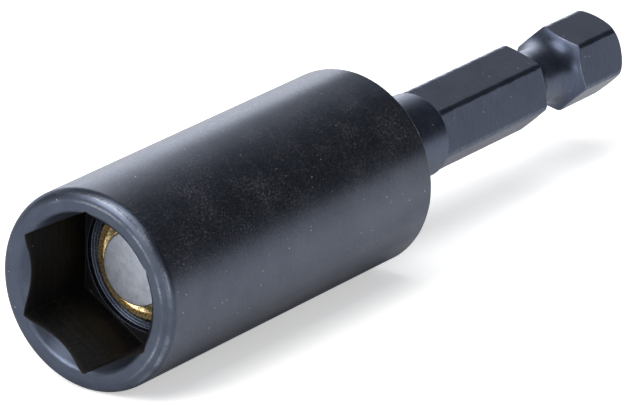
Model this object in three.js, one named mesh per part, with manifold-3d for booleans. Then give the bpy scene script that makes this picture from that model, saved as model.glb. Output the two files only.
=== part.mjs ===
// Magnetic nut setter: a turned socket with a broached hexagon, a power-drive hex shank pressed into
// its back, and a bar magnet held in a brass bush at the bottom of the socket.
// Millimetres. The tool lies on its side: +X runs along its axis from the drive end to the mouth, +Z is up,
// and the origin is the centre of the flat drive end.
import * as THREE from "three";
import { mergeVertices } from "three/addons/utils/BufferGeometryUtils.js";
import Module from "manifold-3d";

// Driving dimensions: socket outside
const socketDiameter = 16.0;
const socketLength = 34.4;
const mouthOuterRound = 0.95;
const rearOuterChamfer = 0.4;

// Driving dimensions: hexagon in the mouth, depths measured from the mouth face
const socketAcrossFlats = 11.3;
const socketHexDepth = 7.55;
const entryConeDiameter = 12.66;
const entryConeAngle = 75;
const pilotDiameter = 11.0;
const pilotDepth = 7.95;
const drillPointAngle = 118;
const socketHexTurn = -2;

// Driving dimensions: shank, lengths measured from the drive end
const shankAcrossFlats = 6.3;
const shankBarDiameter = 7.0;
const shankExposedLength = 34.6;
const shankHexLength = 26.0;
const shankHexTurn = 12.5;
const driveEndDiameter = 4.9;
const driveEndRoundLength = 1.2;
const grooveCentre = 8.8;
const grooveWidth = 5.66;
const grooveDiameter = 4.8;
const grooveArcRadius = 2.0;
const spigotLength = 11.0;
const spigotLeadChamfer = 0.5;

// Driving dimensions: magnet and its brass bush
const magnetDiameter = 6.0;
const magnetLength = 7.0;
const magnetEdgeBreak = 0.15;
const magnetFaceDepth = 6.25;
const magnetProudLength = 1.25;
const bushDiameter = 9.1;
const bushRimWidth = 0.55;
const bushTroughDepth = 0.3;
const bushTroughFlat = 0.32;
const bushFloorThickness = 1.0;
const bushRearChamfer = 0.3;

// Clearance left round every pressed joint, and how finely round forms are divided
const pressGap = 0.08;
const roundSides = 36;
const grooveSteps = 6;
const roundSteps = 4;
const cutterOverrun = 2;

const wasm = await Module();
wasm.setup();

const degrees = THREE.MathUtils.degToRad;

// A round solid about Y from [radius, height] points that start and end on the axis, or close on themselves.
// A flat side, and not a corner, faces straight down.
function turned(profile) {
  const points = profile.map(([radius, height]) => new THREE.Vector2(radius, height));
  return new THREE.LatheGeometry(points, roundSides, Math.PI / roundSides);
}

// A hexagonal bar about Y from one height to another, with a corner at the given angle from the top.
function hexBar(acrossFlats, from, to, turn) {
  const reach = acrossFlats / 2 / Math.cos(Math.PI / 6);
  const bar = new THREE.CylinderGeometry(reach, reach, to - from, 6);
  return bar.rotateY(degrees(turn)).translate(0, (from + to) / 2, 0);
}

// A closed geometry as a solid that can be cut and joined.
function solidOf(geometry) {
  const bare = geometry.clone();
  bare.deleteAttribute("normal");
  bare.deleteAttribute("uv");
  const merged = mergeVertices(bare, 1e-4);
  const corners = merged.index.array;
  const triangles = [];
  for (let i = 0; i < corners.length; i += 3) {
    const [a, b, c] = corners.slice(i, i + 3);
    if (a !== b && b !== c && c !== a) triangles.push(a, b, c);
  }
  return new wasm.Manifold(
    new wasm.Mesh({
      numProp: 3,
      vertProperties: merged.attributes.position.array,
      triVerts: new Uint32Array(triangles),
    }),
  );
}

// A cut solid as a geometry again.
function geometryOf(solid) {
  const mesh = solid.getMesh();
  const geometry = new THREE.BufferGeometry();
  geometry.setAttribute("position", new THREE.BufferAttribute(mesh.vertProperties, 3));
  geometry.setIndex(new THREE.BufferAttribute(mesh.triVerts, 1));
  geometry.computeVertexNormals();
  return geometry;
}

// Heights along the tool, from the drive end at 0
const socketRear = shankExposedLength;
const mouth = socketRear + socketLength;
const magnetFace = mouth - magnetFaceDepth;
const magnetBack = magnetFace - magnetLength;
const bushBack = magnetBack - pressGap - bushFloorThickness;
const pocketFloor = bushBack - pressGap;
const spigotEnd = socketRear + spigotLength;

// Radii shared by pieces that fit each other
const socketRadius = socketDiameter / 2;
const barRadius = shankBarDiameter / 2;
const bushRadius = bushDiameter / 2;
const magnetRadius = magnetDiameter / 2;
const pocketRadius = bushRadius + pressGap;
const spigotBoreRadius = barRadius + pressGap;

// Points of the rounded mouth edge: a quarter of a circle from the side of the socket to its mouth face.
function mouthEdgeProfile() {
  const points = [];
  for (let i = 0; i <= roundSteps; i++) {
    const angle = (Math.PI / 2) * (i / roundSteps);
    const radius = socketRadius - mouthOuterRound * (1 - Math.cos(angle));
    points.push([radius, mouth - mouthOuterRound * (1 - Math.sin(angle))]);
  }
  return points;
}

// Turned body with the rear bore for the shank, the pocket for the bush and the broached hexagon.
function nutSocket() {
  const entryRadius = entryConeDiameter / 2;
  const pilotRadius = pilotDiameter / 2;
  const pilotEnd = mouth - pilotDepth;
  const entryConeLength = (entryRadius - pilotRadius) / Math.tan(degrees(entryConeAngle / 2));
  const drillConeLength = (pilotRadius - pocketRadius) / Math.tan(degrees(drillPointAngle / 2));
  const boreEnd = spigotEnd + pressGap;
  const body = turned([
    [0, boreEnd],
    [spigotBoreRadius, boreEnd],
    [spigotBoreRadius, socketRear],
    [socketRadius - rearOuterChamfer, socketRear],
    [socketRadius, socketRear + rearOuterChamfer],
    ...mouthEdgeProfile(),
    [entryRadius, mouth],
    [pilotRadius, mouth - entryConeLength],
    [pilotRadius, pilotEnd],
    [pocketRadius, pilotEnd - drillConeLength],
    [pocketRadius, pocketFloor],
    [0, pocketFloor],
  ]);
  const broach = hexBar(socketAcrossFlats, mouth - socketHexDepth, mouth + cutterOverrun, socketHexTurn);
  return geometryOf(solidOf(body).subtract(solidOf(broach)));
}

// Points of the rounded drive end: a quarter of an ellipse from the flat end to the surface of the bar.
function driveEndProfile() {
  const endRadius = driveEndDiameter / 2;
  const points = [];
  for (let i = 0; i <= roundSteps; i++) {
    const angle = (Math.PI / 2) * (i / roundSteps);
    const radius = endRadius + (barRadius - endRadius) * Math.sin(angle);
    points.push([radius, driveEndRoundLength * (1 - Math.cos(angle))]);
  }
  return points;
}

// Points of the retaining groove: a straight floor between two arcs that rise to the surface of the bar.
function grooveProfile() {
  const floorRadius = grooveDiameter / 2;
  const reach = Math.acos(1 - (barRadius - floorRadius) / grooveArcRadius);
  const floorHalf = grooveWidth / 2 - grooveArcRadius * Math.sin(reach);
  const rise = [];
  for (let i = 0; i <= grooveSteps; i++) {
    const angle = (reach * i) / grooveSteps;
    const radius = floorRadius + grooveArcRadius * (1 - Math.cos(angle));
    rise.push([radius, floorHalf + grooveArcRadius * Math.sin(angle)]);
  }
  const nearSide = rise.map(([radius, reachAlong]) => [radius, grooveCentre - reachAlong]).reverse();
  const farSide = rise.map(([radius, reachAlong]) => [radius, grooveCentre + reachAlong]);
  return [...nearSide, ...farSide];
}

// Round bar with a rounded drive end and a groove, milled to a hexagon up to the neck, and left plain
// where it is pressed in.
function hexShank() {
  const bar = turned([
    [0, 0],
    ...driveEndProfile(),
    ...grooveProfile(),
    [barRadius, spigotEnd - spigotLeadChamfer],
    [barRadius - spigotLeadChamfer, spigotEnd],
    [0, spigotEnd],
  ]);
  const flats = hexBar(shankAcrossFlats, -cutterOverrun, shankHexLength, shankHexTurn);
  const uncut = turned([
    [0, shankHexLength],
    [shankBarDiameter, shankHexLength],
    [shankBarDiameter, spigotEnd + cutterOverrun],
    [0, spigotEnd + cutterOverrun],
  ]);
  return geometryOf(solidOf(bar).intersect(solidOf(flats).add(solidOf(uncut))));
}

// Brass cup pressed into the pocket: a flat rim that slopes down to a shallow trough round the magnet,
// and a thin floor behind it.
function magnetBush() {
  const boreRadius = magnetRadius + pressGap;
  const rim = magnetFace - magnetProudLength;
  const trough = rim - bushTroughDepth;
  const cupFloor = magnetBack - pressGap;
  return turned([
    [0, bushBack],
    [bushRadius - bushRearChamfer, bushBack],
    [bushRadius, bushBack + bushRearChamfer],
    [bushRadius, rim],
    [bushRadius - bushRimWidth, rim],
    [boreRadius + bushTroughFlat, trough],
    [boreRadius, trough],
    [boreRadius, cupFloor],
    [0, cupFloor],
  ]);
}

// Bar magnet with broken edges, standing proud of the bush.
function barMagnet() {
  return turned([
    [0, magnetBack],
    [magnetRadius - magnetEdgeBreak, magnetBack],
    [magnetRadius, magnetBack + magnetEdgeBreak],
    [magnetRadius, magnetFace - magnetEdgeBreak],
    [magnetRadius - magnetEdgeBreak, magnetFace],
    [0, magnetFace],
  ]);
}

const blackOxide = new THREE.MeshStandardMaterial({ color: 0x2b2d33, roughness: 0.42, metalness: 0.85 });
const turnedBrass = new THREE.MeshStandardMaterial({ color: 0xb08d4a, roughness: 0.3, metalness: 1 });
const groundMagnet = new THREE.MeshStandardMaterial({ color: 0x9a9da4, roughness: 0.55, metalness: 0.8 });

function named(name, geometry, material) {
  const mesh = new THREE.Mesh(geometry, material);
  mesh.name = name;
  return mesh;
}

const magnetCartridge = new THREE.Group();
magnetCartridge.add(named("magnet_bush", magnetBush(), turnedBrass));
magnetCartridge.add(named("magnet", barMagnet(), groundMagnet));

const nutSetter = new THREE.Group();
nutSetter.add(named("nut_socket", nutSocket(), blackOxide));
nutSetter.add(named("hex_shank", hexShank(), blackOxide));
nutSetter.add(magnetCartridge);
nutSetter.rotation.z = -Math.PI / 2;

const part = new THREE.Group();
part.add(nutSetter);

export default part;
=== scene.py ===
import math
from functools import partial

import bpy
import numpy as np
from mathutils import Matrix, Vector


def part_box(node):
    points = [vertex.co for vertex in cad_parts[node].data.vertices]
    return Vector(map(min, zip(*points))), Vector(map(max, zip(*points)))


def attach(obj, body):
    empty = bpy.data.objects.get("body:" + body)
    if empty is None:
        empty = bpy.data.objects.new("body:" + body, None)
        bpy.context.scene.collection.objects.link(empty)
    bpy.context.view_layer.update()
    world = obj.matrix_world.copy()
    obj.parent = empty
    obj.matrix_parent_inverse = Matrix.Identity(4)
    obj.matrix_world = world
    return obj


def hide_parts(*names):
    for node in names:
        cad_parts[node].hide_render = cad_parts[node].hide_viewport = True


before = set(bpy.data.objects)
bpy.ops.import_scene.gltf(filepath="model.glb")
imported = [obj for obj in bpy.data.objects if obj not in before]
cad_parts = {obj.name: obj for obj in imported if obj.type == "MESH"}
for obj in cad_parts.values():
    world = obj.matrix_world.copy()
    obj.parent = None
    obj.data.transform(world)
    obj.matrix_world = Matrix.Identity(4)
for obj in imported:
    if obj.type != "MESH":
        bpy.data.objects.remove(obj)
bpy.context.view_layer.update()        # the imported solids: axis along +X from the drive end to the mouth, +Z up
mm = 0.001
print("frame loaded:", sorted(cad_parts))

# where the pieces sit along the axis, in mm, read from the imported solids
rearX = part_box("nut_socket")[0].x / mm
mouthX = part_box("nut_socket")[1].x / mm
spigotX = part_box("hex_shank")[1].x / mm
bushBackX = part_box("magnet_bush")[0].x / mm
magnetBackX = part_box("magnet")[0].x / mm
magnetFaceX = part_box("magnet")[1].x / mm


# surfaces

def hexAngles(columns, corner, gather):
    # once round in radians: even steps s along each sixth become s - gather sin(2 pi s) / (2 pi),
    # which crowds the columns at the hexagon's corners
    s = np.arange(columns) * 6 / columns
    eased = s - gather * np.sin(2 * np.pi * s) / (2 * np.pi)
    return np.radians(corner) + eased * np.pi / 3


def hexRadius(theta, acrossFlats, corner, cornerRound):
    # axis to hexagon: half the width over flats / cos(angle off the flat's middle), and within a
    # rounded corner the far crossing with a circle set back on the corner's own line
    flat = acrossFlats / 2
    offFlat = (theta - np.radians(corner)) % (np.pi / 3) - np.pi / 6
    offCorner = np.pi / 6 - np.abs(offFlat)
    setBack = (flat - cornerRound) / np.cos(np.pi / 6)
    under = np.clip(cornerRound ** 2 - (setBack * np.sin(offCorner)) ** 2, 0, None)
    onCorner = setBack * np.cos(offCorner) + np.sqrt(under)
    turnIn = np.arctan((flat - cornerRound) * np.tan(np.pi / 6) / flat)
    return np.where(np.abs(offFlat) > turnIn, onCorner, flat / np.cos(offFlat))


def smoothMin(a, b, blend):
    # the lesser of a and b, less blend/4 * h^2 with h = 1 - |a-b|/blend where they come close;
    # h itself marks the rounded edge
    h = np.clip(1 - np.abs(a - b) / blend, 0, 1)
    return np.minimum(a, b) - h * h * blend / 4, h


def smoothStep(value, low, high):
    # 0 below low, 1 above high, and 3 t^2 - 2 t^3 between them
    t = np.clip((value - low) / (high - low), 0, 1)
    return t * t * (3 - 2 * t)


def shares(count):
    # even steps from 0 to 1 without the 0, as a column of rings
    return np.linspace(0, 1, count + 1)[1:, None]


def roundedProfile(points, steps=6, support=0.6, longest=0.1):
    # a line of [along, radius, round, wear] whose corners become arcs: each leg is cut back by
    # round / tan(half the corner), the centre lies round / sin(half) along the bisector, and the arc
    # runs by spherical interpolation; a further point on each leg, support * round on but no more
    # than longest, keeps the straight parts flat
    points = np.array(points, dtype=float)
    corner = points[1:-1, :2]
    size = points[1:-1, 2:3]
    legA = points[:-2, :2] - corner
    legB = points[2:, :2] - corner
    legA /= np.linalg.norm(legA, axis=1, keepdims=True)
    legB /= np.linalg.norm(legB, axis=1, keepdims=True)
    half = np.arccos(np.clip((legA * legB).sum(1, keepdims=True), -1, 1)) / 2
    trim = size / np.tan(half)
    bisector = (legA + legB) / np.linalg.norm(legA + legB, axis=1, keepdims=True)
    centre = corner + bisector * size / np.sin(half)
    spokeA = (corner + legA * trim - centre)[:, None]
    spokeB = (corner + legB * trim - centre)[:, None]
    turn = (np.pi - 2 * half)[:, None]
    t = np.linspace(0, 1, steps + 1)[None, :, None]
    spokes = (np.sin((1 - t) * turn) * spokeA + np.sin(t * turn) * spokeB) / np.sin(turn)
    hold = np.minimum(support * size, longest)
    lead = (corner + legA * (trim + hold))[:, None]
    tail = (corner + legB * (trim + hold))[:, None]
    bends = np.concatenate([lead, centre[:, None] + spokes, tail], axis=1).reshape(-1, 2)
    line = np.concatenate([points[:1, :2], bends, points[-1:, :2]])
    wear = (points[1:-1, 3:] * np.r_[0, np.ones(steps + 1), 0]).ravel()
    return line[:, 0], line[:, 1], np.r_[0, wear, 0]


def allRound(profile, columns):
    # the same profile in every column: arrays of [ring, column]
    return [np.repeat(row[:, None], columns, axis=1) for row in profile]


def ringMesh(name, along, radius, theta, wear, strips, materials):
    # rings about the X axis at (along, radius cos theta, radius sin theta), joined by four-sided faces
    # that close all the way round, with one point on the axis closing each end; strips holds the
    # material of each band of faces, counted from the first ring
    rings, columns = along.shape
    points = np.stack([along, radius * np.cos(theta), radius * np.sin(theta)], axis=-1) * mm
    body = points[1:-1].reshape(-1, 3)
    first, last = len(body), len(body) + 1
    vertices = np.concatenate([body, points[:1, 0], points[-1:, 0]])
    ring = np.arange(rings - 3)[:, None] * columns
    here = np.arange(columns)[None]
    after = (here + 1) % columns
    quads = np.stack([ring + here, ring + after, ring + columns + after, ring + columns + here], axis=-1)
    top = (rings - 3) * columns
    fanA = np.stack([np.full(columns, first), after[0], here[0]], axis=-1)
    fanB = np.stack([np.full(columns, last), top + here[0], top + after[0]], axis=-1)
    mesh = bpy.data.meshes.new(name)
    mesh.from_pydata(vertices.tolist(), [], fanA.tolist() + quads.reshape(-1, 4).tolist() + fanB.tolist())
    mesh.attributes.new("edgeWear", "FLOAT", "POINT")
    wearOf = np.r_[wear[1:-1].ravel(), wear[0, 0], wear[-1, 0]]
    mesh.attributes["edgeWear"].data.foreach_set("value", wearOf)
    for material in materials:
        mesh.materials.append(material)
    mesh.polygons.foreach_set("material_index", np.repeat(strips, columns).astype(np.int32))
    mesh.shade_smooth()
    piece = bpy.data.objects.new(name, mesh)
    bpy.context.scene.collection.objects.link(piece)
    print("piece", name, "vertices", len(vertices))
    return piece


# materials

def linearColour(hexText):
    # sRGB hex to linear: c / 12.92 below 0.04045, else ((c + 0.055) / 1.055) ^ 2.4
    srgb = [int(hexText[i:i + 2], 16) / 255 for i in (1, 3, 5)]
    return tuple(c / 12.92 if c <= 0.04045 else ((c + 0.055) / 1.055) ** 2.4 for c in srgb) + (1.0,)


def addNode(tree, kind, inputs=None, **settings):
    # a Mix of colours has its factor, A and B at 0, 6 and 7 and its result at output 2, and a Mix of
    # numbers at 0, 2, 3 and output 0
    node = tree.nodes.new(kind)
    for key, value in settings.items():
        setattr(node, key, value)
    for key, value in (inputs or {}).items():
        if isinstance(value, bpy.types.NodeSocket):
            tree.links.new(value, node.inputs[key])
        else:
            node.inputs[key].default_value = value
    return node


def startMaterial(name):
    # an empty material, what adds its nodes, and Object coordinates in mm
    material = bpy.data.materials.new(name)
    material.use_nodes = True
    material.node_tree.nodes.clear()
    add = partial(addNode, material.node_tree)
    place = add("ShaderNodeTexCoord").outputs["Object"]
    inMm = add("ShaderNodeVectorMath", {0: place, 1: (1 / mm,) * 3}, operation="MULTIPLY").outputs[0]
    return material, add, inMm


def toolMarks(add, inMm, look):
    # noise that changes every pitch along the axis or outwards, and slowly around
    across = add("ShaderNodeVectorMath", {0: inMm, 1: (0, 1, 1)}, operation="MULTIPLY").outputs[0]
    around = add("ShaderNodeVectorMath", {0: across}, operation="NORMALIZE").outputs[0]
    outward = add("ShaderNodeVectorMath", {0: across}, operation="LENGTH").outputs["Value"]
    along = add("ShaderNodeSeparateXYZ", {0: inMm}).outputs["X"]
    travel = add("ShaderNodeMath", {0: outward, 1: look["markOutward"], 2: along},
                 operation="MULTIPLY_ADD").outputs[0]
    steps = add("ShaderNodeMath", {0: travel, 1: look["markPitchMm"]}, operation="DIVIDE").outputs[0]
    lengthwise = add("ShaderNodeCombineXYZ", {"X": steps}).outputs[0]
    markPlace = add("ShaderNodeVectorMath", {0: around, 1: (look["markTurns"],) * 3, 2: lengthwise},
                    operation="MULTIPLY_ADD").outputs[0]
    return add("ShaderNodeTexNoise", {"Vector": markPlace, "Scale": 1.0, "Detail": 2.0}).outputs[0]


def rustyBloom(add, inMm, cloud, look):
    # a thin brown all over and fine brown specks, thicker where the cloud is
    speck = add("ShaderNodeTexNoise", {"Vector": inMm, "Scale": 1 / look["speckMm"], "Detail": 3.0,
                                       "Roughness": look["speckHarsh"]}).outputs[0]
    clouded = add("ShaderNodeMath", {0: cloud, 1: look["speckCloud"], 2: speck},
                  operation="MULTIPLY_ADD").outputs[0]
    return add("ShaderNodeMapRange", {"Value": clouded, "From Min": look["speckFrom"],
                                      "From Max": look["speckFull"], "To Min": look["speckLeast"],
                                      "To Max": look["speckMost"]}).outputs[0]


def dustDots(add, inMm, look):
    # one small dot in a few of the cells, most of them faint
    cell = add("ShaderNodeTexVoronoi", {"Vector": inMm, "Scale": 1 / look["dustEveryMm"]})
    dotSize = look["dustMm"] / look["dustEveryMm"]
    dot = add("ShaderNodeMapRange", {"Value": cell.outputs["Distance"], "From Min": dotSize,
                                     "From Max": look["dustCore"] * dotSize}).outputs[0]
    lot = add("ShaderNodeSeparateColor", {0: cell.outputs["Color"]})
    kept = add("ShaderNodeMath", {0: lot.outputs[0], 1: 1 - look["dustShare"]},
               operation="GREATER_THAN").outputs[0]
    faint = add("ShaderNodeMath", {0: lot.outputs[1], 1: look["dustFaint"]}, operation="POWER").outputs[0]
    shown = add("ShaderNodeMath", {0: kept, 1: faint}, operation="MULTIPLY").outputs[0]
    return add("ShaderNodeMath", {0: dot, 1: shown}, operation="MULTIPLY").outputs[0]


def bareEdgesAndHighlights(add, edge, cloud, grain, look):
    # edges rubbed to bare steel: all along them, stronger in patches of the cloud and nicked by the grain. Where
    # the wear is set strongest it is partly a painted highlight.
    patch = add("ShaderNodeMapRange", {"Value": cloud, "From Min": look["patchFrom"],
                                       "From Max": look["patchFull"],
                                       "To Min": look["patchLeast"]}).outputs[0]
    nicked = add("ShaderNodeMapRange", {"Value": grain, "From Min": look["nickFrom"],
                                        "From Max": look["nickFull"],
                                        "To Min": look["nickLeast"]}).outputs[0]
    patchy = add("ShaderNodeMath", {0: edge, 1: patch}, operation="MULTIPLY").outputs[0]
    return add("ShaderNodeMath", {0: patchy, 1: nicked}, operation="MULTIPLY", use_clamp=True).outputs[0]


def blackOxide(name, look):
    # black oxide on steel: a thin blue-black film over metal, so it mirrors softly and dimly, blue-grey
    # where it meets white and brown-black elsewhere, with tool marks, rusty specks and rubbed edges, some of them
    # painted highlights
    material, add, inMm = startMaterial(name)
    colour = {key: linearColour(look[key]) for key in ("film", "filmDark", "rust", "bare", "dust", "grazing")}
    grain = add("ShaderNodeTexNoise", {"Vector": inMm, "Scale": 1 / look["grainMm"], "Detail": 2.0,
                                       "Roughness": look["grainHarsh"]}).outputs[0]
    cloud = add("ShaderNodeTexNoise", {"Vector": inMm, "Scale": 1 / look["cloudMm"],
                                       "Detail": 3.0}).outputs[0]
    marks = toolMarks(add, inMm, look)
    bloom = rustyBloom(add, inMm, cloud, look)
    dust = dustDots(add, inMm, look)
    # worn edges: above 0 bare steel, in places partly a painted highlight, below 0 a brown line
    edge = add("ShaderNodeAttribute", attribute_name="edgeWear").outputs["Fac"]
    bare = bareEdgesAndHighlights(add, edge, cloud, grain, look)
    brownEdge = add("ShaderNodeMath", {0: edge, 1: -1.0}, operation="MULTIPLY", use_clamp=True).outputs[0]
    brown = add("ShaderNodeMath", {0: bloom, 1: brownEdge}, operation="MAXIMUM").outputs[0]
    scratch = add("ShaderNodeMapRange", {"Value": marks, "From Min": look["scratchFrom"],
                                         "From Max": look["scratchFull"],
                                         "To Max": look["scratch"]}).outputs[0]
    bright = add("ShaderNodeMath", {0: bare, 1: scratch}, operation="MAXIMUM").outputs[0]
    # the film, then streaks, rust, bare steel and dust over it
    film = add("ShaderNodeMix", {0: cloud, 6: colour["filmDark"], 7: colour["film"]},
               data_type="RGBA").outputs[2]
    streak = add("ShaderNodeMapRange", {"Value": marks, "From Min": look["noiseLow"],
                                        "From Max": look["noiseHigh"], "To Min": 1 - look["streak"],
                                        "To Max": 1 + look["streak"]}).outputs[0]
    streaked = add("ShaderNodeVectorMath", {0: film, "Scale": streak}, operation="SCALE").outputs[0]
    rusty = add("ShaderNodeMix", {0: brown, 6: streaked, 7: colour["rust"]}, data_type="RGBA").outputs[2]
    rubbed = add("ShaderNodeMix", {0: bright, 6: rusty, 7: colour["bare"]}, data_type="RGBA").outputs[2]
    dusty = add("ShaderNodeMix", {0: dust, 6: rubbed, 7: colour["dust"]}, data_type="RGBA").outputs[2]
    # rust and dust are not metal
    dull = add("ShaderNodeMath", {0: brown, 1: dust}, operation="MAXIMUM").outputs[0]
    metal = add("ShaderNodeMath", {0: 1.0, 1: dull}, operation="SUBTRACT", use_clamp=True).outputs[0]
    rough = add("ShaderNodeMapRange", {"Value": grain, "From Min": look["noiseLow"],
                                       "From Max": look["noiseHigh"],
                                       "To Min": look["roughness"] - look["roughnessSpread"],
                                       "To Max": look["roughness"] + look["roughnessSpread"]}).outputs[0]
    markBump = add("ShaderNodeBump", {"Height": marks, "Distance": look["markDeepMm"] * mm}).outputs[0]
    bump = add("ShaderNodeBump", {"Height": grain, "Distance": look["grainDeepMm"] * mm,
                                  "Normal": markBump}).outputs[0]
    shader = add("ShaderNodeBsdfPrincipled", {"Base Color": dusty, "Metallic": metal, "Roughness": rough,
                                              "Specular Tint": colour["grazing"], "Normal": bump})
    add("ShaderNodeOutputMaterial", {"Surface": shader.outputs[0]})
    return material


# the tool marks and the grain are finer than this on the real steel: drawn coarser so that they show
turnedLook = {
    "film": "#5a6274", "filmDark": "#4a505c", "rust": "#5b5047", "bare": "#a3a9b5", "dust": "#b9bcc2",
    "grazing": "#ffffff", "roughness": 0.39, "roughnessSpread": 0.06, "noiseLow": 0.3, "noiseHigh": 0.7,
    "markPitchMm": 0.11, "markTurns": 9.0, "markOutward": 0.0, "markDeepMm": 0.002, "streak": 0.08,
    "scratch": 0.0, "scratchFrom": 0.58, "scratchFull": 0.75, "grainMm": 0.15, "grainHarsh": 0.6,
    "grainDeepMm": 0.008, "cloudMm": 3.0, "speckMm": 0.14, "speckHarsh": 0.7, "speckCloud": 0.22,
    "speckFrom": 0.66, "speckFull": 0.78, "speckLeast": 0.035, "speckMost": 0.75, "dustMm": 0.065,
    "dustCore": 0.6, "dustEveryMm": 0.5, "dustShare": 0.38, "dustFaint": 2.5, "patchFrom": 0.44,
    "patchFull": 0.58, "patchLeast": 0.1, "nickFrom": 0.35, "nickFull": 0.6, "nickLeast": 0.3,
}
groundLook = dict(turnedLook, film="#545c6d", filmDark="#434955", grazing="#cccccc", roughness=0.37,
                  markOutward=1.0, speckFrom=0.72, speckFull=0.86, speckMost=0.6, dustShare=0.03)
# broached hexagon inside the mouth: rougher with coarser marks, and its film darkened as painted shade in the
# hollow
broachedLookPaintedShade = dict(turnedLook, film="#2f3033", filmDark="#242322", rust="#352c25", roughness=0.5,
                    markPitchMm=0.24, markTurns=0.8, markDeepMm=0.01, streak=0.2, speckMost=0.5,
                    dustShare=0.06)
drilledLook = dict(turnedLook, film="#4d5464", filmDark="#424856", roughness=0.3, speckFrom=0.76,
                   speckFull=1.0)
drawnLook = dict(turnedLook, film="#565e73", filmDark="#4a5264", rust="#4b505c", roughness=0.35,
                 speckLeast=0.1, speckMost=0.5, grainDeepMm=0.004, markTurns=3.0, scratch=0.08)

socketSteel = blackOxide("BlackOxideTurnedSteel", turnedLook)
mouthSteel = blackOxide("BlackOxideGroundSteel", groundLook)
broachedSteelPaintedShade = blackOxide("BlackOxideBroachedSteelPaintedShade", broachedLookPaintedShade)
drilledSteel = blackOxide("BlackOxideDrilledSteel", drilledLook)
shankSteel = blackOxide("BlackOxideDrawnSteel", drawnLook)


def turnedBrass(name, look):
    # turned brass gone dull: yellow metal with a fine tooth, browner in patches and along the rim's edges
    material, add, inMm = startMaterial(name)
    patch = add("ShaderNodeTexNoise", {"Vector": inMm, "Scale": 1 / look["patchMm"],
                                       "Detail": 4.0}).outputs[0]
    grain = add("ShaderNodeTexNoise", {"Vector": inMm, "Scale": 1 / look["grainMm"],
                                       "Detail": 2.0}).outputs[0]
    edge = add("ShaderNodeAttribute", attribute_name="edgeWear").outputs["Fac"]
    taken = add("ShaderNodeMath", {0: edge, 1: look["edgeDull"], 2: patch},
                operation="MULTIPLY_ADD").outputs[0]
    part = add("ShaderNodeMapRange", {"Value": taken, "From Min": look["dullFrom"],
                                      "From Max": look["dullFull"]}).outputs[0]
    tone = add("ShaderNodeMix", {0: part, 6: linearColour(look["bright"]), 7: linearColour(look["dull"])},
               data_type="RGBA").outputs[2]
    rough = add("ShaderNodeMapRange", {"Value": part, "To Min": look["roughness"],
                                       "To Max": look["roughnessDull"]}).outputs[0]
    bump = add("ShaderNodeBump", {"Height": grain, "Distance": look["grainDeepMm"] * mm}).outputs[0]
    shader = add("ShaderNodeBsdfPrincipled", {"Base Color": tone, "Metallic": 1.0, "Roughness": rough,
                                              "Normal": bump})
    add("ShaderNodeOutputMaterial", {"Surface": shader.outputs[0]})
    return material


brassLook = {
    "bright": "#efd8a4", "dull": "#6e5528", "dullFrom": 0.45, "dullFull": 0.7, "roughness": 0.3,
    "roughnessDull": 0.5, "patchMm": 0.16, "edgeDull": 0.25, "grainMm": 0.12, "grainDeepMm": 0.004,
}
bushBrass = turnedBrass("TurnedBrass", brassLook)


def groundMagnet(name, look):
    # ground magnet alloy: pale matt grey, faintly blotched, with a fine even tooth
    material, add, inMm = startMaterial(name)
    patch = add("ShaderNodeTexNoise", {"Vector": inMm, "Scale": 1 / look["patchMm"],
                                       "Detail": 3.0}).outputs[0]
    grain = add("ShaderNodeTexNoise", {"Vector": inMm, "Scale": 1 / look["grainMm"],
                                       "Detail": 2.0}).outputs[0]
    tone = add("ShaderNodeMix", {0: patch, 6: linearColour(look["dark"]), 7: linearColour(look["pale"])},
               data_type="RGBA").outputs[2]
    bump = add("ShaderNodeBump", {"Height": grain, "Distance": look["grainDeepMm"] * mm}).outputs[0]
    shader = add("ShaderNodeBsdfPrincipled", {"Base Color": tone, "Metallic": 1.0, "Normal": bump,
                                              "Roughness": look["roughness"]})
    add("ShaderNodeOutputMaterial", {"Surface": shader.outputs[0]})
    return material


magnetLook = {
    "pale": "#d0d5df", "dark": "#959ca9", "roughness": 0.42, "patchMm": 0.45, "grainMm": 0.13,
    "grainDeepMm": 0.006,
}
magnetAlloy = groundMagnet("GroundMagnetAlloy", magnetLook)
print("materials made:", len(bpy.data.materials))


# nut socket: sizes in mm, angles in degrees; each rim wave has its turns, phase and divisor

socketSizes = {
    "diameter": 16.0, "mouthRound": 0.95, "faceEnd": 6.9, "faceInner": 6.62, "entryDiameter": 12.72,
    "entryAngle": 75.0, "entryBlend": 0.3, "acrossFlats": 11.3, "hexCorner": 88.0, "hexCornerRound": 0.15,
    "hexDepth": 7.55, "edgeRound": 0.05, "pilotDiameter": 11.0, "pilotDepth": 7.95, "drillAngle": 118.0,
    "pocketDiameter": 9.26, "pocketDepth": 14.41, "boreDiameter": 7.16, "boreDepth": 11.08,
    "boreRound": 0.15, "rearChamfer": 0.4, "rearRound": 0.08, "rearInnerWear": 0.3, "rearOuterWearAndHighlight": 2.0,
    "rimWander": 0.01, "rimWaves": [(3, 1.0, 1), (8, 0.0, 2), (19, 2.0, 3)], "ridgePitch": 0.2,
    "ridgeHeight": 0.035, "hexEdgeWear": -0.4, "innerScuffHighlight": 7.2, "innerWear": 0.7, "outerScuffHighlight": 7.77,
    "outerWear": 0.8, "scuffWidth": 0.07, "scuffHighlightSide": 30.0, "scuffFrom": -0.2, "scuffFull": 0.6,
    "columns": 384, "gather": 0.75, "arcSteps": 10, "faceRings": 4, "coneRings": 24, "edgeRings": 5,
    "wallRings": 13, "floorRings": 4, "drillRings": 99,
}


def leadIn(radius, z):
    # how far along the mouth's surface lies: the lesser of the face's plane and the entry cone,
    # blended where they meet
    drop = (z["entryDiameter"] / 2 - radius) / math.tan(math.radians(z["entryAngle"] / 2))
    return smoothMin(mouthX, mouthX - drop, z["entryBlend"])[0]


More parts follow.
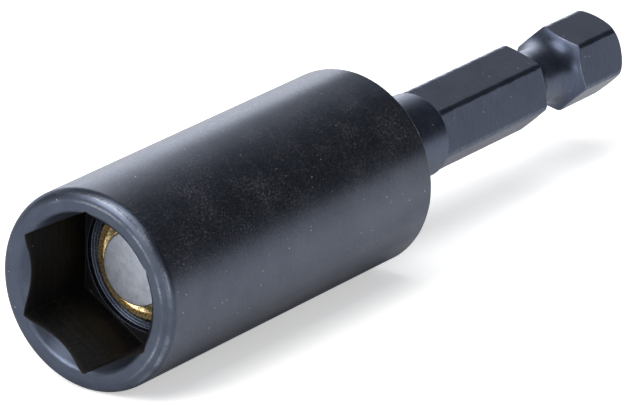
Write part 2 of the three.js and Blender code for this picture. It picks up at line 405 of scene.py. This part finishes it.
def drilledHole(z, columns):
    # pilot wall, drilled cone and pocket, with the rings the drill left: a cusp of ridge height where
    # 1 - |sin(pi path / pitch)| peaks, raised square to the path
    hexEnd = mouthX - z["hexDepth"]
    slope = math.radians(z["drillAngle"] / 2)
    pilot = z["pilotDiameter"] / 2
    pocket = z["pocketDiameter"] / 2
    pilotRun = z["pilotDepth"] - z["hexDepth"]
    coneRun = (pilot - pocket) / math.sin(slope)
    path = shares(z["drillRings"])[:, 0] * (pilotRun + coneRun)
    down = np.clip(path - pilotRun, 0, None)
    crest = z["ridgeHeight"] * (1 - np.abs(np.sin(np.pi * path / z["ridgePitch"])))
    onCone = down > 0
    along = hexEnd - np.minimum(path, pilotRun) - down * math.cos(slope) + onCone * crest * math.sin(slope)
    radius = pilot - down * math.sin(slope) - crest * np.where(onCone, math.cos(slope), 1)
    bottom = mouthX - z["pocketDepth"]
    return allRound([np.r_[along, bottom, bottom], np.r_[radius, pocket, 0]], columns)


def nutSocket(z):
    # one line from the rear bore out round the body, over the mouth and down the hole, carried once round
    # the axis; in the mouth its radius follows the hexagon
    theta = hexAngles(z["columns"], z["hexCorner"], z["gather"])
    radius = z["diameter"] / 2
    edge = z["edgeRound"]
    outX, outR, outWear = allRound(roundedProfile([
        [rearX + z["boreDepth"], 0, 0, 0],
        [rearX + z["boreDepth"], z["boreDiameter"] / 2, z["boreRound"], 0],
        [rearX, z["boreDiameter"] / 2, z["boreRound"], 0],
        [rearX, radius - z["rearChamfer"], z["rearRound"], z["rearInnerWear"]],
        # the rear rim's outer edge is rubbed bare, partly real wear and partly a painted highlight along it
        [rearX + z["rearChamfer"], radius, z["rearRound"], z["rearOuterWearAndHighlight"]],
        [mouthX, radius, z["mouthRound"], 0],
        [mouthX, z["faceEnd"], 0, 0],
    ], z["arcSteps"]), len(theta))
    # the rear rim wanders a little, as a hand-fed tool leaves it: three sines round the edge
    wander = sum(np.sin(turns * theta + phase) / share for turns, phase, share in z["rimWaves"])
    outR = outR - np.sign(outWear) * wander * z["rimWander"]
    wall = hexRadius(theta, z["acrossFlats"], z["hexCorner"], z["hexCornerRound"])[None]
    # the face, then the entry cone in to just short of the hexagon's wall
    s = shares(z["faceRings"])
    faceR = z["faceEnd"] * (1 - s) + z["faceInner"] * s + 0 * wall
    s = shares(z["coneRings"])
    coneR = z["faceInner"] * (1 - s) + (wall + edge) * s
    faceX = leadIn(faceR, z)
    coneX = leadIn(coneR, z)
    # edge of the cone and the wall: a parabola between a point on each
    rimX = leadIn(wall, z)
    t = shares(z["edgeRings"])
    edgeR = (1 - t) ** 2 * (wall + edge) + (1 - (1 - t) ** 2) * wall
    edgeX = (1 - t) ** 2 * coneX[-1:] + 2 * t * (1 - t) * rimX + t ** 2 * (rimX - edge)
    # broached wall down to the hexagon's end, a like parabola into its floor, and in to the pilot hole
    hexEnd = mouthX - z["hexDepth"]
    s = shares(z["wallRings"])
    wallX = edgeX[-1:] * (1 - s) + (hexEnd + edge) * s
    wallR = np.repeat(wall, len(s), axis=0)
    heelX = hexEnd + (1 - t) ** 2 * edge + 0 * wall
    heelR = wall - t ** 2 * edge
    s = shares(z["floorRings"])
    floorR = heelR[-1:] * (1 - s) + z["pilotDiameter"] / 2 * s
    floorX = np.full_like(floorR, hexEnd)
    deepX, deepR = drilledHole(z, len(theta))
    along = np.concatenate([outX, faceX, coneX, edgeX, wallX, heelX, floorX, deepX])
    radial = np.concatenate([outR, faceR, coneR, edgeR, wallR, heelR, floorR, deepR])
    wear = np.zeros_like(along)
    wear[:len(outX)] = outWear
    edgeFrom = len(outX) + len(faceX) + len(coneX)
    wear[edgeFrom:edgeFrom + len(edgeX)] = z["hexEdgeWear"]
    # scuffs on one side of the mouth, partly real wear and partly a painted highlight on the mouth's lit side:
    # two bell curves of the radius
    onRim = along > mouthX - z["mouthRound"]
    side = smoothStep(np.cos(theta - math.radians(z["scuffHighlightSide"])), z["scuffFrom"], z["scuffFull"])
    innerScuffHighlight = z["innerWear"] * np.exp(-((radial - z["innerScuffHighlight"]) / z["scuffWidth"]) ** 2)
    outerScuffHighlight = z["outerWear"] * np.exp(-((radial - z["outerScuffHighlight"]) / z["scuffWidth"]) ** 2)
    wear = wear + onRim * side * (innerScuffHighlight + outerScuffHighlight)
    # bands of faces: outside, mouth, broached (its film darkened as painted shade), drilled; the mouth starts
    # where its edge's round does
    mouth = len(faceX) + len(coneX)
    broached = len(edgeX) + len(wallX) + len(heelX) + len(floorX)
    strips = np.repeat([0, 1, 2, 3], [len(outX) - 1, mouth, broached, len(deepX)])
    strips = np.where((strips == 0) & onRim[:-1, 0], 1, strips)
    return ringMesh("nut_socket_turned", along, radial, theta, wear, strips,
                    [socketSteel, mouthSteel, broachedSteelPaintedShade, drilledSteel])


# hex shank: sizes in mm, angles in degrees; each corner wave has its radians per mm and its turns, and
# the ring counts are those of each run between two stops along the shank

shankSizes = {
    "acrossFlats": 6.3, "flatCornerRound": 0.02, "cornerDiameter": 7.11, "cornerRound": 0.05,
    "cornerWander": 0.01, "cornerWaves": [(2.1, 3), (5.3, 1), (11.3, 2), (17.0, 1)], "hexCorner": 42.5,
    "hexEnd": 26.0, "neckStep": 0.09, "neckDiameter": 7.05, "tipDiameter": 4.84, "tipSwell": 7.36,
    "tipRoundLength": 1.386, "tipBlend": 0.08, "tipWear": 0.35, "grooveCentre": 8.8, "grooveWidth": 5.66,
    "grooveDiameter": 4.8, "grooveArc": 2.0, "crispBlend": 0.09, "softBlend": 0.45, "crispWear": 0.5,
    "stepWearAndHighlight": 2.0, "leadChamfer": 0.5, "crispBefore": 0.4, "crispAfter": 0.6, "softBefore": 0.6,
    "softAfter": 0.8, "stepReach": 0.3, "ringCounts": [32, 24, 26, 30, 26, 90, 24, 8, 4], "columns": 300,
    "gather": 0.8,
}


def hexShank(z):
    # axis to surface at each place along and angle round: the least of the hexagon, its turned corners,
    # the rounded end and the groove, and then the plain neck
    theta = hexAngles(z["columns"], z["hexCorner"], z["gather"])
    neck = z["neckDiameter"] / 2
    corner = z["cornerDiameter"] / 2
    arc = z["grooveArc"]
    leadX = spigotX - z["leadChamfer"]
    crispX = z["grooveCentre"] - z["grooveWidth"] / 2
    softX = z["grooveCentre"] + z["grooveWidth"] / 2
    # rings lie close at the rounded end, the groove's edges and the step to the neck
    stops = [0, z["tipRoundLength"], crispX - z["crispBefore"], crispX + z["crispAfter"],
             softX - z["softBefore"], softX + z["softAfter"], z["hexEnd"] - z["stepReach"],
             z["hexEnd"] + z["stepReach"], rearX, leadX]
    spans = zip(stops[:-1], stops[1:], z["ringCounts"])
    runs = [np.linspace(a, b, count, endpoint=False) for a, b, count in spans]
    x = np.r_[np.concatenate(runs), leadX][:, None]
    # hexagon whose corners were turned off round, wandering a little along their length: a sum of sines
    wander = sum(np.sin(perMm * x + turns * theta) for perMm, turns in z["cornerWaves"])
    corners = corner + z["cornerWander"] * wander
    flats = hexRadius(theta, z["acrossFlats"], z["hexCorner"], z["flatCornerRound"])[None]
    hexBar, _ = smoothMin(flats, corners, z["cornerRound"])
    # drive end: a quarter of an ellipse out from the end's flat
    run = np.clip(1 - x / z["tipRoundLength"], 0, 1)
    tip = (z["tipDiameter"] + (z["tipSwell"] - z["tipDiameter"]) * np.sqrt(1 - run ** 2)) / 2
    ended, tipEdge = smoothMin(hexBar, tip, z["tipBlend"])
    # groove: a straight floor and two arcs that rise to the corners, crisp on the drive end's side
    floor = z["grooveDiameter"] / 2
    reach = math.acos(1 - (corner - floor) / arc)
    out = np.clip(np.abs(x - z["grooveCentre"]) - z["grooveWidth"] / 2 + arc * math.sin(reach), 0, arc)
    groove = floor + arc - np.sqrt(arc ** 2 - out ** 2)
    blend = np.where(x < z["grooveCentre"], z["crispBlend"], z["softBlend"])
    milled, grooveEdge = smoothMin(ended, groove, blend)
    # the hexagon stops at the plain neck within a short step
    step = smoothStep(x, z["hexEnd"] - z["neckStep"] / 2, z["hexEnd"] + z["neckStep"] / 2)
    radius = milled * (1 - step) + neck * step
    crispEdge = grooveEdge * (x < z["grooveCentre"])
    # the step to the neck is rubbed bare all round, partly real wear and partly a painted highlight along its
    # edge
    wear = z["tipWear"] * tipEdge + z["crispWear"] * crispEdge + z["stepWearAndHighlight"] * step * (1 - step)
    cap = np.full((1, len(theta)), spigotX)
    along = np.concatenate([0 * cap, np.repeat(x, len(theta), axis=1), cap, cap])
    radius = np.concatenate([0 * cap, radius, 0 * cap + neck - z["leadChamfer"], 0 * cap])
    wear = np.concatenate([0 * cap, wear, 0 * cap, 0 * cap])
    return ringMesh("hex_shank_drawn", along, radius, theta, wear, np.zeros(len(along) - 1), [shankSteel])


# magnet and its bush: sizes in mm, the line is the thin groove inside the bush's rim

bushSizes = {
    "diameter": 9.1, "rimWidth": 0.5, "rimRound": 0.1, "proud": 1.25, "bore": 6.06, "lineDepth": 0.16,
    "lineWidth": 0.12, "lineRound": 0.015, "lineInnerWear": 0.5, "troughFlat": 0.37, "troughDepth": 0.3,
    "troughRound": 0.35, "rearChamfer": 0.3, "rearRound": 0.06, "columns": 192,
}
magnetSizes = {"diameter": 6.0, "edgeRound": 0.13, "columns": 192}


def magnetBush(z):
    # back, side, rim with its thin line, trough and bore as one rounded line carried round the axis
    theta = hexAngles(z["columns"], 0, 0)
    radius = z["diameter"] / 2
    bore = z["bore"] / 2
    rim = magnetFaceX - z["proud"]
    trough = rim - z["troughDepth"]
    inside = radius - z["rimWidth"]
    along, radial, wear = allRound(roundedProfile([
        [bushBackX, 0, 0, 0],
        [bushBackX, radius - z["rearChamfer"], z["rearRound"], 0],
        [bushBackX + z["rearChamfer"], radius, z["rearRound"], 0],
        [rim, radius, z["rimRound"], 1],
        [rim, inside, z["lineRound"], 1],
        [rim - z["lineDepth"], inside - z["lineWidth"] / 2, z["lineRound"], 1],
        [rim, inside - z["lineWidth"], z["lineRound"], z["lineInnerWear"]],
        [trough, bore + z["troughFlat"], z["troughRound"], 0],
        [trough, bore, z["lineRound"], 0],
        [magnetBackX, bore, z["rearRound"], 0],
        [magnetBackX, 0, 0, 0],
    ]), len(theta))
    return ringMesh("magnet_bush_turned", along, radial, theta, wear, np.zeros(len(along) - 1), [bushBrass])


def barMagnet(z):
    # half of the bar's outline, rounded at its corners and carried round the axis
    theta = hexAngles(z["columns"], 0, 0)
    radius = z["diameter"] / 2
    along, radial, wear = allRound(roundedProfile([
        [magnetBackX, 0, 0, 0],
        [magnetBackX, radius, z["edgeRound"], 0],
        [magnetFaceX, radius, z["edgeRound"], 0],
        [magnetFaceX, 0, 0, 0],
    ]), len(theta))
    return ringMesh("magnet_bar", along, radial, theta, wear, np.zeros(len(along) - 1), [magnetAlloy])


for piece, node, slot in [
    (nutSocket(socketSizes), "nut_socket", "socket_steel"),
    (hexShank(shankSizes), "hex_shank", "shank_steel"),
    (magnetBush(bushSizes), "magnet_bush", "bush_brass"),
    (barMagnet(magnetSizes), "magnet", "magnet_alloy"),
]:
    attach(piece, "root")
    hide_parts(node)
print("pieces ride on root")


# floor: its size in metres, the drop below the axis and the lifts' reach in mm

floorLook = {
    "size": 6.0, "drop": 8.0, "paper": "#f2f2f2", "white": "#ffffff", "liftSeen": 0.5, "paintedGlowMirrored": 0.16,
    "liftFrom": 2.0, "liftFull": 13.0, "endGain": 3.0,
}


def makeFloor(look):
    half = look["size"] / 2
    drop = -look["drop"] * mm
    mesh = bpy.data.meshes.new("floor")
    corners = [(-half, -half, drop), (half, -half, drop), (half, half, drop), (-half, half, drop)]
    mesh.from_pydata(corners, [], [(0, 1, 2, 3)])
    floor = bpy.data.objects.new("floor", mesh)
    bpy.context.scene.collection.objects.link(floor)
    # white paper: a plain matt white, lifted a little for the camera, and with a painted glow, no lamp, for what
    # mirrors it
    material = bpy.data.materials.new("WhitePaperSweep")
    material.use_nodes = True
    material.node_tree.nodes.clear()
    add = partial(addNode, material.node_tree)
    rays = add("ShaderNodeLightPath").outputs
    mirrored = add("ShaderNodeMath", {0: rays["Is Glossy Ray"], 1: rays["Is Transmission Ray"]},
                   operation="MAXIMUM").outputs[0]
    # painted light: what the metal mirrors glows only out from under the socket, the part that rests on the
    # paper, and sooner past the socket's ends
    spot = add("ShaderNodeSeparateXYZ", {0: add("ShaderNodeTexCoord").outputs["Object"]})
    aside = add("ShaderNodeMath", {0: spot.outputs["Y"]}, operation="ABSOLUTE").outputs[0]
    middle = (rearX + mouthX) / 2 * mm
    fromMiddle = add("ShaderNodeMath", {0: spot.outputs["X"], 1: middle}, operation="SUBTRACT").outputs[0]
    endwise = add("ShaderNodeMath", {0: fromMiddle}, operation="ABSOLUTE").outputs[0]
    halfSocket = (mouthX - rearX) / 2 * mm
    beyond = add("ShaderNodeMath", {0: endwise, 1: look["endGain"], 2: -look["endGain"] * halfSocket},
                 operation="MULTIPLY_ADD").outputs[0]
    apart = add("ShaderNodeMath", {0: aside, 1: beyond}, operation="MAXIMUM").outputs[0]
    clear = add("ShaderNodeMapRange", {"Value": apart, "From Min": look["liftFrom"] * mm,
                                       "From Max": look["liftFull"] * mm,
                                       "To Max": look["paintedGlowMirrored"]}).outputs[0]
    # the painted glow that only glossy and transmission rays see
    faint = add("ShaderNodeMath", {0: mirrored, 1: clear}, operation="MULTIPLY").outputs[0]
    lift = add("ShaderNodeMath", {0: rays["Is Camera Ray"], 1: look["liftSeen"], 2: faint},
               operation="MULTIPLY_ADD").outputs[0]
    paper = add("ShaderNodeBsdfDiffuse", {"Color": linearColour(look["paper"])})
    glow = add("ShaderNodeEmission", {"Color": linearColour(look["white"]), "Strength": lift})
    both = add("ShaderNodeAddShader", {0: paper.outputs[0], 1: glow.outputs[0]})
    add("ShaderNodeOutputMaterial", {"Surface": both.outputs[0]})
    mesh.materials.append(material)


# studio walls: each zone has its level, the heights over which it fades out upwards and how squarely a
# direction has to face it, from none of it to all of it

studioLook = {
    "white": "#ffffff", "backTint": "#f2f7ff", "ceiling": 0.15, "backToward": (-0.783, -0.622, 0.0),
    "low": {"level": 1.1, "fades": (0.06, 0.24)},
    "front": {"level": 1.3, "fades": (0.45, 0.75), "faces": (0.45, 0.8)},
    "back": {"level": 2.8, "fades": (0.1, 0.82), "faces": (0.55, 0.9)},
    "shade": {"level": 0.02, "faces": (0.04, 0.42)},
}


def makeWorld(look, camera):
    # a dim ceiling, and over it in turn a low white band all round, a pale side behind the camera,
    # a lit backdrop far left and a dark side to the camera's right
    world = bpy.data.worlds.new("studio")
    bpy.context.scene.world = world
    world.use_nodes = True
    world.node_tree.nodes.clear()
    add = partial(addNode, world.node_tree)
    toward = add("ShaderNodeTexCoord").outputs["Generated"]
    height = add("ShaderNodeSeparateXYZ", {0: toward}).outputs["Z"]
    near = Vector((camera["back"].x, camera["back"].y, 0)).normalized()
    sides = {"low": None, "front": near, "back": look["backToward"], "shade": camera["right"]}
    level = look["ceiling"]
    share = {}
    for name, side in sides.items():
        zone = look[name]
        share[name] = 1.0
        if "fades" in zone:
            share[name] = add("ShaderNodeMapRange", {"Value": height, "From Min": zone["fades"][0],
                                                     "From Max": zone["fades"][1], "To Min": 1.0,
                                                     "To Max": 0.0},
                              interpolation_type="SMOOTHSTEP").outputs[0]
        if "faces" in zone:
            facing = add("ShaderNodeVectorMath", {0: toward, 1: tuple(side)},
                         operation="DOT_PRODUCT").outputs["Value"]
            reach = add("ShaderNodeMapRange", {"Value": facing, "From Min": zone["faces"][0],
                                               "From Max": zone["faces"][1]},
                        interpolation_type="SMOOTHSTEP").outputs[0]
            share[name] = add("ShaderNodeMath", {0: share[name], 1: reach}, operation="MULTIPLY").outputs[0]
        level = add("ShaderNodeMix", {0: share[name], 2: level, 3: zone["level"]}).outputs[0]
    # the camera itself sees plain white
    seen = add("ShaderNodeLightPath").outputs["Is Camera Ray"]
    white = linearColour(look["white"])
    strength = add("ShaderNodeMix", {0: seen, 2: level, 3: 1.0}).outputs[0]
    tint = add("ShaderNodeMix", {0: share["back"], 6: white, 7: linearColour(look["backTint"])},
               data_type="RGBA").outputs[2]
    shown = add("ShaderNodeMix", {0: seen, 6: tint, 7: white}, data_type="RGBA").outputs[2]
    sky = add("ShaderNodeBackground", {"Color": shown, "Strength": strength})
    add("ShaderNodeOutputWorld", {"Surface": sky.outputs[0]})


# lamps: round softboxes, sizes in metres, each aimed at the socket from the side it is named for

lampAim = {"aim": (0.05, 0, 0), "distance": 0.6}
lamps = {
    "frontSoftbox": dict(lampAim, toward=(0.72, -0.22, 0.655), size=0.42, radiance=6.2),
    "topSoftbox": dict(lampAim, toward=(0.05, 0.12, 0.99), size=0.44, radiance=3.6),
    "sideSoftbox": dict(lampAim, toward=(0.3, 0.95, 0.12), size=0.16, radiance=6.0),
}


def makeLamp(name, look):
    # a disk's energy is its radiance times pi times its area
    lamp = bpy.data.lights.new(name, "AREA")
    lamp.shape = "DISK"
    lamp.size = look["size"]
    lamp.energy = look["radiance"] * math.pi * math.pi * (look["size"] / 2) ** 2
    toward = Vector(look["toward"]).normalized()
    holder = bpy.data.objects.new(name, lamp)
    holder.location = Vector(look["aim"]) + toward * look["distance"]
    holder.rotation_euler = toward.to_track_quat("Z", "Y").to_euler()
    bpy.context.scene.collection.objects.link(holder)


# camera: angles in degrees, lengths in mm, the focal length in pixels of the photograph

cameraSetup = {
    "azimuth": 125.4621, "elevation": 20.2053, "distance": 512.817, "aim": (34.5, 0.0, 0.0),
    "slideRight": -2.4336, "slideUp": -2.978, "focalPixels": 6524.2, "photoWidth": 640, "sensor": 36.0,
    "clipStart": 10.0,
}


def makeCamera(look):
    # back along azimuth and elevation from the aim, then a slide in the picture's plane
    a, e = math.radians(look["azimuth"]), math.radians(look["elevation"])
    back = Vector((math.sin(a) * math.cos(e), -math.cos(a) * math.cos(e), math.sin(e)))
    right = Vector((math.cos(a), math.sin(a), 0))
    up = back.cross(right)
    place = Vector(look["aim"]) + back * look["distance"] + right * look["slideRight"] + up * look["slideUp"]
    lens = bpy.data.cameras.new("camera")
    lens.sensor_width = look["sensor"]
    lens.lens = look["focalPixels"] / look["photoWidth"] * look["sensor"]
    lens.clip_start = look["clipStart"] * mm
    camera = bpy.data.objects.new("camera", lens)
    turn = Matrix((right, up, back)).transposed().to_4x4()
    camera.matrix_world = Matrix.Translation(place * mm) @ turn
    bpy.context.scene.collection.objects.link(camera)
    bpy.context.scene.camera = camera
    return {"right": right, "back": back}


camera = makeCamera(cameraSetup)
makeFloor(floorLook)
makeWorld(studioLook, camera)
for name, look in lamps.items():
    makeLamp(name, look)
bpy.context.scene.view_settings.view_transform = "Standard"
print("stage and camera set")
